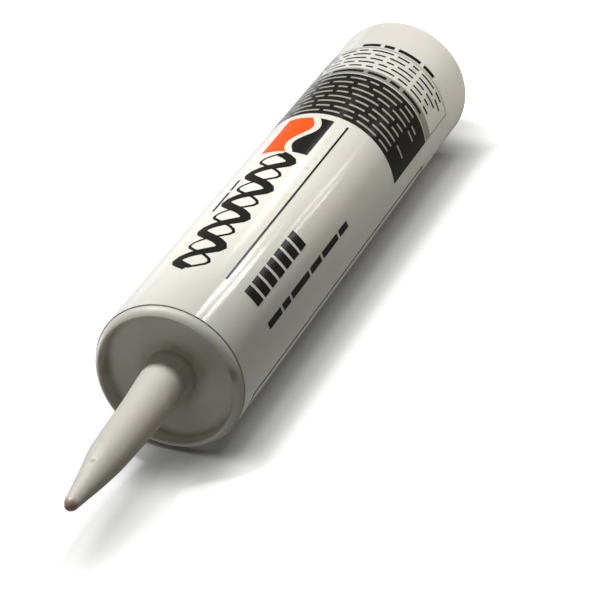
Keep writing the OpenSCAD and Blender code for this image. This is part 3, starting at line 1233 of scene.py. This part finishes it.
@dataclass(frozen=True)
class GroundShade:
    """Where the photograph's ground is darkened by painted shadow, where a painted glow washes it out to
    white, and where it ends.

    Places are in mm: along the tube from its rear rim, and beside the line it lies on, towards its shadow.
    """

    left: Pair = (-20.0, -10.0)
    # Painted shadow by the cap and along the tube's foot, where the tube almost touches the ground
    cap_start: Pair = (205.0, 214.0)
    cap_end: Pair = (222.0, 242.0)
    cap_side: Pair = (14.0, 30.0)
    cap_shadow: float = 0.45
    foot_side: Pair = (8.0, 34.0)
    foot_end: Pair = (213.0, 222.0)
    foot_shadow: float = 0.56
    # A painted glow washes the ground out to white past these edges, by the nozzle, behind the rear and past
    # the tip
    edge_along: Pair = (214.0, 238.0)
    edge_beside: Pair = (33.5, 13.0)
    edge_soft: Pair = (-4.5, 2.5)
    left_along: Pair = (218.0, 226.0)
    left_beside: Pair = (-14.0, -2.5)
    left_soft: Pair = (0.0, 5.0)
    nozzle_along: Pair = (226.0, 248.0)
    nozzle_wash: float = 0.7
    rear_wash: Pair = (-5.0, -19.0)
    tip_wash: Pair = (280.0, 291.0)
    rear_end: Pair = (-70.0, -71.0)
    tip_end: Pair = (350.0, 351.0)
    side_end: Pair = (110.0, 111.0)

    def _places(self, graph: Graph) -> tuple[Socket, Socket]:
        """Gives a point's place along the tube and beside it, in mm."""
        split = graph.add("SeparateXYZ", {0: graph.place()})
        return graph.times(split.outputs[0], 1 / MM), graph.times(split.outputs[1], 1 / MM)

    def whiteness(self, graph: Graph) -> Socket:
        """Gives the ground's whiteness, with painted shadow where the tube almost touches it and by the cap.

        Args:
            graph: The ground's graph.

        Returns:
            The whiteness, from 0 to 1.
        """
        along, beside = self._places(graph)
        left = graph.fade(beside, *self.left)
        near_cap = graph.times(graph.fade(along, *self.cap_start), graph.fade(along, *self.cap_end, *FALLING))
        shadow_by_cap = graph.times(near_cap, graph.fade(beside, *self.cap_side, *FALLING), left, self.cap_shadow)
        beside_foot = graph.fade(beside, *self.foot_side, *FALLING)
        along_foot = graph.fade(along, *self.foot_end, *FALLING)
        shadow_by_foot = graph.times(beside_foot, along_foot, left, self.foot_shadow)
        return graph.maths("SUBTRACT", 1.0, graph.most(shadow_by_foot, shadow_by_cap), clamp=True)

    def wash(self, graph: Graph) -> Socket:
        """Masks where a painted glow washes the ground out to white round its shadow.

        Args:
            graph: The ground's graph.

        Returns:
            The mask's socket.
        """
        along, beside = self._places(graph)
        edge = graph.fade(along, *self.edge_along, *self.edge_beside)
        past_edge = graph.fade(graph.minus(beside, edge), *self.edge_soft)
        left_edge = graph.fade(along, *self.left_along, *self.left_beside)
        past_left = graph.fade(graph.minus(left_edge, beside), *self.left_soft)
        past_rear = graph.fade(along, *self.rear_wash)
        past_tip = graph.fade(along, *self.tip_wash)
        by_nozzle = graph.fade(along, *self.nozzle_along, 0.0, self.nozzle_wash)
        return graph.most(past_edge, past_left, past_rear, past_tip, by_nozzle)

    def far(self, graph: Graph) -> Socket:
        """Masks the ground far from the tube, where it is white in the photograph and ends.

        Args:
            graph: The ground's graph.

        Returns:
            The mask's socket.
        """
        along, beside = self._places(graph)
        behind = graph.fade(along, *self.rear_end)
        past_tip = graph.fade(along, *self.tip_end)
        sideways = graph.fade(graph.maths("ABSOLUTE", beside), *self.side_end)
        return graph.most(behind, past_tip, sideways)


@dataclass
class Ground:
    """The photograph's ground, tangent to the barrel's side, and the floor that the tube stands on.

    Only the camera sees them. The photograph's ground is see-through from behind.
    """

    up_angle: float = -57.0
    barrel_r: float = 25.0
    clearance: float = 0.05
    reach: float = 1.5
    ground_white: float = 0.55
    # Painted light: the ground glows where it is washed out to white round its shadow
    ground_glow: float = 0.28
    floor_white: float = 0.98
    floor_glow: float = 0.55
    unevenness: Pair = (0.985, 1.0)
    gap_depth: Pair = (-0.012, -0.006)
    gap_side: Pair = (0.09, 0.06)
    shade: GroundShade = GroundShade()

    def build(self) -> dict[Lit, bpy.types.Object]:
        """Builds both surfaces.

        Returns:
            The photograph's ground and the floor, by what lights them.
        """
        up = direction(self.up_angle, 0)
        ground = self._sheet("photo_ground", self._ground_finish())
        turn = up.to_track_quat("Z", "X").to_matrix().to_4x4()
        ground.matrix_world = Matrix.Translation(-up * (self.barrel_r + self.clearance) * MM) @ turn
        floor = self._sheet("floor", self._floor_finish(up))
        floor.location = (0, 0, -self.clearance * MM)
        return {Lit.GROUND: ground, Lit.FLOOR: floor}

    def _sheet(self, name: str, material: bpy.types.Material) -> bpy.types.Object:
        """Makes a square flat sheet that only the camera sees.

        Args:
            name: Its name.
            material: Its material.

        Returns:
            The sheet.
        """
        data = bpy.data.meshes.new(name)
        corners = [(x * self.reach, y * self.reach, 0) for x, y in ((-1, -1), (1, -1), (1, 1), (-1, 1))]
        data.from_pydata(corners, [], [(0, 1, 2, 3)])
        data.materials.append(material)
        sheet = bpy.data.objects.new(name, data)
        bpy.context.scene.collection.objects.link(sheet)
        sheet.visible_diffuse = False
        sheet.visible_glossy = False
        sheet.visible_transmission = False
        sheet.visible_shadow = False
        sheet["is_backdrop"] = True
        return sheet

    def _ground_finish(self) -> bpy.types.Material:
        """Makes the photograph's ground: white with painted shadow and a painted glow round it, clear from
        behind and far from the tube.

        Returns:
            The material.
        """
        coat = Coat("ground_white")
        graph = coat.graph
        self._whiten(coat, self.ground_white, self.ground_glow, self.shade.whiteness(graph))
        # Painted light: the glow whitens the ground round its shadow
        wash = self.shade.wash(graph)
        grey = graph.add("CombineColor", {0: wash, 1: wash, 2: wash}).outputs[0]
        graph.feed(coat.shader.inputs["Emission Color"], grey)
        self._open(coat, self.shade.far(graph))
        return coat.material

    def _floor_finish(self, up: Vector) -> bpy.types.Material:
        """Makes the floor: white, clear from behind and where the ground's shadow runs on behind the tube.

        Args:
            up: The direction out of the photograph's ground.

        Returns:
            The material.
        """
        coat = Coat("floor_white")
        graph = coat.graph
        self._whiten(coat, self.floor_white, self.floor_glow, 1.0)
        height = graph.measure("DOT_PRODUCT", graph.place(), up)
        beside = graph.measure("DOT_PRODUCT", graph.place(), up.cross(Vector((0, 0, 1))))
        gap = graph.times(graph.fade(height, *self.gap_depth, *FALLING), graph.fade(beside, *self.gap_side))
        self._open(coat, gap)
        return coat.material

    def _whiten(self, coat: Coat, white: float, glow: float, shade: Value) -> None:
        """Makes a coat dull, white and glowing.

        Args:
            coat: The coat.
            white: Share of the light that it gives back.
            glow: Light of its own.
            shade: Share of the whiteness that painted shadow leaves.
        """
        graph = coat.graph
        cloud = graph.fade(graph.noise(graph.place(), scale=8.0), *CLOUD_RANGE, *self.unevenness)
        coat.colour(graph.blend(graph.times(cloud, shade), (0, 0, 0), (white, white, white)))
        coat.set({"Roughness": 1.0, "Specular IOR Level": 0.0})
        coat.set({"Emission Color": (1, 1, 1, 1), "Emission Strength": glow})

    def _open(self, coat: Coat, unseen: Socket) -> None:
        """Makes a coat clear from behind, and where a mask says so.

        Args:
            coat: The coat.
            unseen: The mask.
        """
        graph = coat.graph
        behind = graph.add("NewGeometry", {}).outputs["Backfacing"]
        clear = graph.add("BsdfTransparent", {}).outputs[0]
        mixed = graph.add("MixShader", {0: graph.most(behind, unseen), 1: coat.shader.outputs[0], 2: clear})
        graph.feed(graph.tree.nodes["Material Output"].inputs[0], mixed.outputs[0])


@dataclass(frozen=True)
class Lamp:
    """An area lamp: where it stands and aims, its sides in metres, its power in watts and its colour.

    A lamp that isn't mirrored adds no highlight of its own.
    """

    name: str
    stand: Vector
    aim: Vector
    sides: Pair
    power: float
    colour: Colour = NEUTRAL
    long_side: Vector = Vector((0, 0, 1))
    lights: Lit = Lit.BARREL
    oval: bool = False
    mirrored: bool = True

    def build(self, groups: dict[Lit, bpy.types.Collection]) -> None:
        """Puts the lamp up.

        Args:
            groups: What each kind of lamp lights.
        """
        data = bpy.data.lights.new(self.name, "AREA")
        data.shape = "ELLIPSE" if self.oval else "RECTANGLE"
        data.size, data.size_y = self.sides
        data.energy = self.power
        data.color = self.colour
        lamp = bpy.data.objects.new(self.name, data)
        bpy.context.scene.collection.objects.link(lamp)
        back = (self.stand - self.aim).normalized()
        side = (self.long_side - back * self.long_side.dot(back)).normalized()
        turn = Matrix((side.cross(back), side, back)).transposed()
        lamp.matrix_world = Matrix.Translation(self.stand) @ turn.to_4x4()
        lamp.visible_camera = False
        lamp.visible_glossy = self.mirrored
        lamp.light_linking.receiver_collection = groups[self.lights]
        LOG.info("lamp %s", self.name)


@dataclass(frozen=True)
class Glint:
    """A small lamp whose mirror image is a bright line on the barrel, seen from the photograph's place.

    The line's ends are places round the barrel, from the angle it faces, and behind the barrel's front.
    They and its width are in mm.
    """

    name: str
    start: Pair
    end: Pair
    width: float
    radiance: float
    facing: float = -90.0
    away: float = 0.5
    barrel_r: float = 25.0
    barrel_length: float = 213.0

    def lamp(self, eye: Vector) -> Lamp:
        """Works out the lamp.

        Args:
            eye: Where the line is seen from.

        Returns:
            The lamp.
        """
        (p1, q1), (p2, q2) = (self._mirrored(*end, eye) for end in (self.start, self.end))
        sides = (2 * self.width / self.barrel_r * self.away, (q2 - q1).length)
        power = self.radiance * math.pi * sides[0] * sides[1]
        return Lamp(self.name, (q1 + q2) / 2, (p1 + p2) / 2, sides, power, long_side=q2 - q1)

    def _mirrored(self, arc: float, back: float, eye: Vector) -> tuple[Vector, Vector]:
        """Follows the mirrored line of sight from a place on the barrel.

        Args:
            arc: The place round the barrel, in mm.
            back: Its distance behind the barrel's front, in mm.
            eye: Where it is seen from.

        Returns:
            The place, and the point that it mirrors.
        """
        out = direction(self.facing - math.degrees(arc / self.barrel_r), 0)
        place = (out * self.barrel_r + Vector((0, 0, self.barrel_length - back))) * MM
        seen = (eye - place).normalized()
        return place, place + (out * 2 * out.dot(seen) - seen) * self.away


@dataclass
class Studio:
    """The photograph's soft light, a fill for the far side, and the even light all round."""

    middle: Vector = Vector((0, 0, 0.13))
    ambient: float = 0.112
    ambient_colour: Colour = (1.0, 0.98, 0.87)
    far: float = 1.0
    glints: tuple[Glint, ...] = (
        Glint("line_left", (-5.2, 0), (-3.5, 38), 0.55, 12.5),
        Glint("line_right", (-2.7, 0), (-1.4, 38), 0.55, 12.5),
        Glint("soft_left", (-9.8, 64), (-8.4, 92), 1.9, 2.3),
        Glint("spot_near", (3.0, 67), (2.7, 74), 1.6, 6.0),
        Glint("spot_far", (1.8, 85), (1.4, 95), 1.6, 4.0),
    )

    def lamp(self, name: str, angle: float, rise: float, sides: Pair, power: float, **more: Any) -> Lamp:
        """Makes an oval lamp that aims at the tube's middle.

        Args:
            name: Its name.
            angle: Its angle about the axis, in degrees.
            rise: Its rise towards the nozzle, in degrees.
            sides: Its widths across and along the tube, in metres.
            power: Its power, in watts.
            more: Its colour and what it lights.

        Returns:
            The lamp.
        """
        stand = self.middle + direction(angle, rise) * self.far
        return Lamp(name, stand, self.middle, sides, power, oval=True, **more)

    def near(
        self, name: str, angle: float, away: float, height: float, power: float, colour: Colour = WARM
    ) -> Lamp:
        """Makes a small fill lamp close to the barrel, which isn't mirrored in it.

        Args:
            name: Its name.
            angle: Its angle about the axis, in degrees.
            away: Its distance from the axis, in metres.
            height: Its height, in metres.
            power: Its power, in watts.
            colour: Its colour.

        Returns:
            The lamp.
        """
        stand = direction(angle, 0) * away + Vector((0, 0, height))
        aim = Vector((0, 0, max(height, 0.0)))
        return Lamp(name, stand, aim, TINY, power, colour=colour, oval=True, mirrored=False)

    def lamps(self) -> list[Lamp]:
        """Lists the lamps, each with its angle, its rise or distance and height, its sides and its power.

        Returns:
            The lamps.
        """
        return [
            self.lamp("barrel_left", 30, -30, BROAD, 4.6),
            self.lamp("barrel_left_edge", 40, -10, BROAD, 3.8),
            self.lamp("barrel_left_card", 57, -55, CARD, 0.5),
            self.lamp("barrel_rear_left", 130, 20, BROAD, 2.3),
            self.lamp("barrel_rear_right", 160, 20, BROAD, 2.5),
            self.near("barrel_key", -30, 0.70, 0.15, 3.3, colour=NEUTRAL),
            self.near("below_rear", -75, 0.10, -0.30, 1.4, colour=PALE_WARM),
            self.near("rear_right", 180, 0.10, -0.05, 0.037),
            self.near("beside_rear", -105, 0.10, 0.0, 0.016),
            self.near("beside_middle", -75, 0.10, 0.10, 0.019),
            self.near("beside_front", -45, 0.10, 0.15, 0.036),
            self.lamp("cap_key", -30, -7, SMALL, 4.9, lights=Lit.CAP),
            self.lamp("cap_key_left", -20, -10, SMALL, 3.3, lights=Lit.CAP),
            self.lamp("cap_key_right", -52, -8, SMALL, 3.9, lights=Lit.CAP),
            self.lamp("cap_left_edge", 50, -8, BROAD, 2.4, lights=Lit.CAP),
            self.lamp("cap_right_side", -130, -28, BROAD, 1.0, colour=WARMEST, lights=Lit.CAP),
            self.lamp("cap_rear_left", 130, 20, BROAD, 0.7, lights=Lit.CAP),
            self.lamp("cap_rear", 70, -5, BROAD, 1.0, lights=Lit.CAP),
            self.lamp("cap_front_top", -50, 70, BROAD, 0.6, lights=Lit.CAP),
            self.lamp("cap_front_left", 70, 70, BROAD, 0.6, lights=Lit.CAP),
            self.lamp("ground_left", -20, 14, LONG, 3.4, lights=Lit.GROUND),
            self.lamp("ground_mid_left", -35, 14, LONG, 1.7, lights=Lit.GROUND),
            self.lamp("ground_top", -50, 14, LONGEST, 7.0, lights=Lit.GROUND),
            self.lamp("ground_high", -65, 14, LONGEST, 1.4, lights=Lit.GROUND),
            self.lamp("ground_right", -65, -4, LONG, 3.5, lights=Lit.GROUND),
            self.lamp("ground_far_right", -80, -4, LONG, 2.7, lights=Lit.GROUND),
            Lamp("floor_top", Vector((0.1, -0.2, 1.6)), self.middle, SHEET, 30.0, lights=Lit.FLOOR),
            *(glint.lamp(Vector(EYE)) for glint in self.glints),
        ]

    def build(self, ground: dict[Lit, bpy.types.Object]) -> None:
        """Lights the scene.

        Args:
            ground: The ground's surfaces, by what lights them.
        """
        groups = {lit: bpy.data.collections.new(lit.value) for lit in Lit}
        for lit, sheet in ground.items():
            groups[lit].objects.link(sheet)
        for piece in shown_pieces():
            groups[Lit.CAP if piece.name == CAP_NAME else Lit.BARREL].objects.link(piece)
        for lamp in self.lamps():
            lamp.build(groups)
        self._surround()
        bpy.context.scene.view_settings.view_transform = "Standard"
        bpy.context.scene.view_settings.look = "None"

    def _surround(self) -> None:
        """Lights the part evenly from all round, and shows the camera plain white behind it."""
        world = bpy.data.worlds.new("studio")
        bpy.context.scene.world = world
        world.use_nodes = True
        graph = Graph(world.node_tree)
        even = world.node_tree.nodes["Background"]
        graph.feed(even.inputs["Color"], self.ambient_colour)
        graph.feed(even.inputs["Strength"], self.ambient)
        white = graph.add("Background", {"Color": (1, 1, 1), "Strength": 1.0})
        seen = graph.add("LightPath", {}).outputs["Is Camera Ray"]
        mixed = graph.add("MixShader", {0: seen, 1: even.outputs[0], 2: white.outputs[0]})
        graph.feed(world.node_tree.nodes["World Output"].inputs[0], mixed.outputs[0])


@dataclass
class PhotoCamera:
    """The camera at the photograph's place and angle."""

    stand: tuple[float, float, float] = EYE
    right: tuple[float, float, float] = (-0.783, -0.507, -0.360)
    up: tuple[float, float, float] = (0.622, -0.620, -0.478)
    focal_pixels: float = 2860.3
    picture_side: int = 600
    sensor: float = 36.0
    nearest: float = 0.01

    def build(self) -> None:
        """Puts the camera up."""
        data = bpy.data.cameras.new("photo_camera")
        data.sensor_width = self.sensor
        data.lens = self.focal_pixels * self.sensor / self.picture_side
        data.clip_start = self.nearest
        camera = bpy.data.objects.new("photo_camera", data)
        right = Vector(self.right).normalized()
        back = right.cross(Vector(self.up)).normalized()
        turn = Matrix((right, back.cross(right), back)).transposed()
        camera.matrix_world = Matrix.Translation(self.stand) @ turn.to_4x4()
        bpy.context.scene.collection.objects.link(camera)
        bpy.context.scene.camera = camera


def main() -> None:
    """Builds the part's looks, then its ground, light and camera."""
    logging.basicConfig(level=logging.INFO, format="%(name)s: %(message)s")
    for assembly in (Barrel(), EndCap(), Plunger(), Sealant(), Printing()):
        assembly.build()
    Studio().build(Ground().build())
    PhotoCamera().build()
    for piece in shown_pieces():
        LOG.info("%s: %d faces", piece.name, len(piece.data.polygons))


if __name__ == "__main__":
    main()
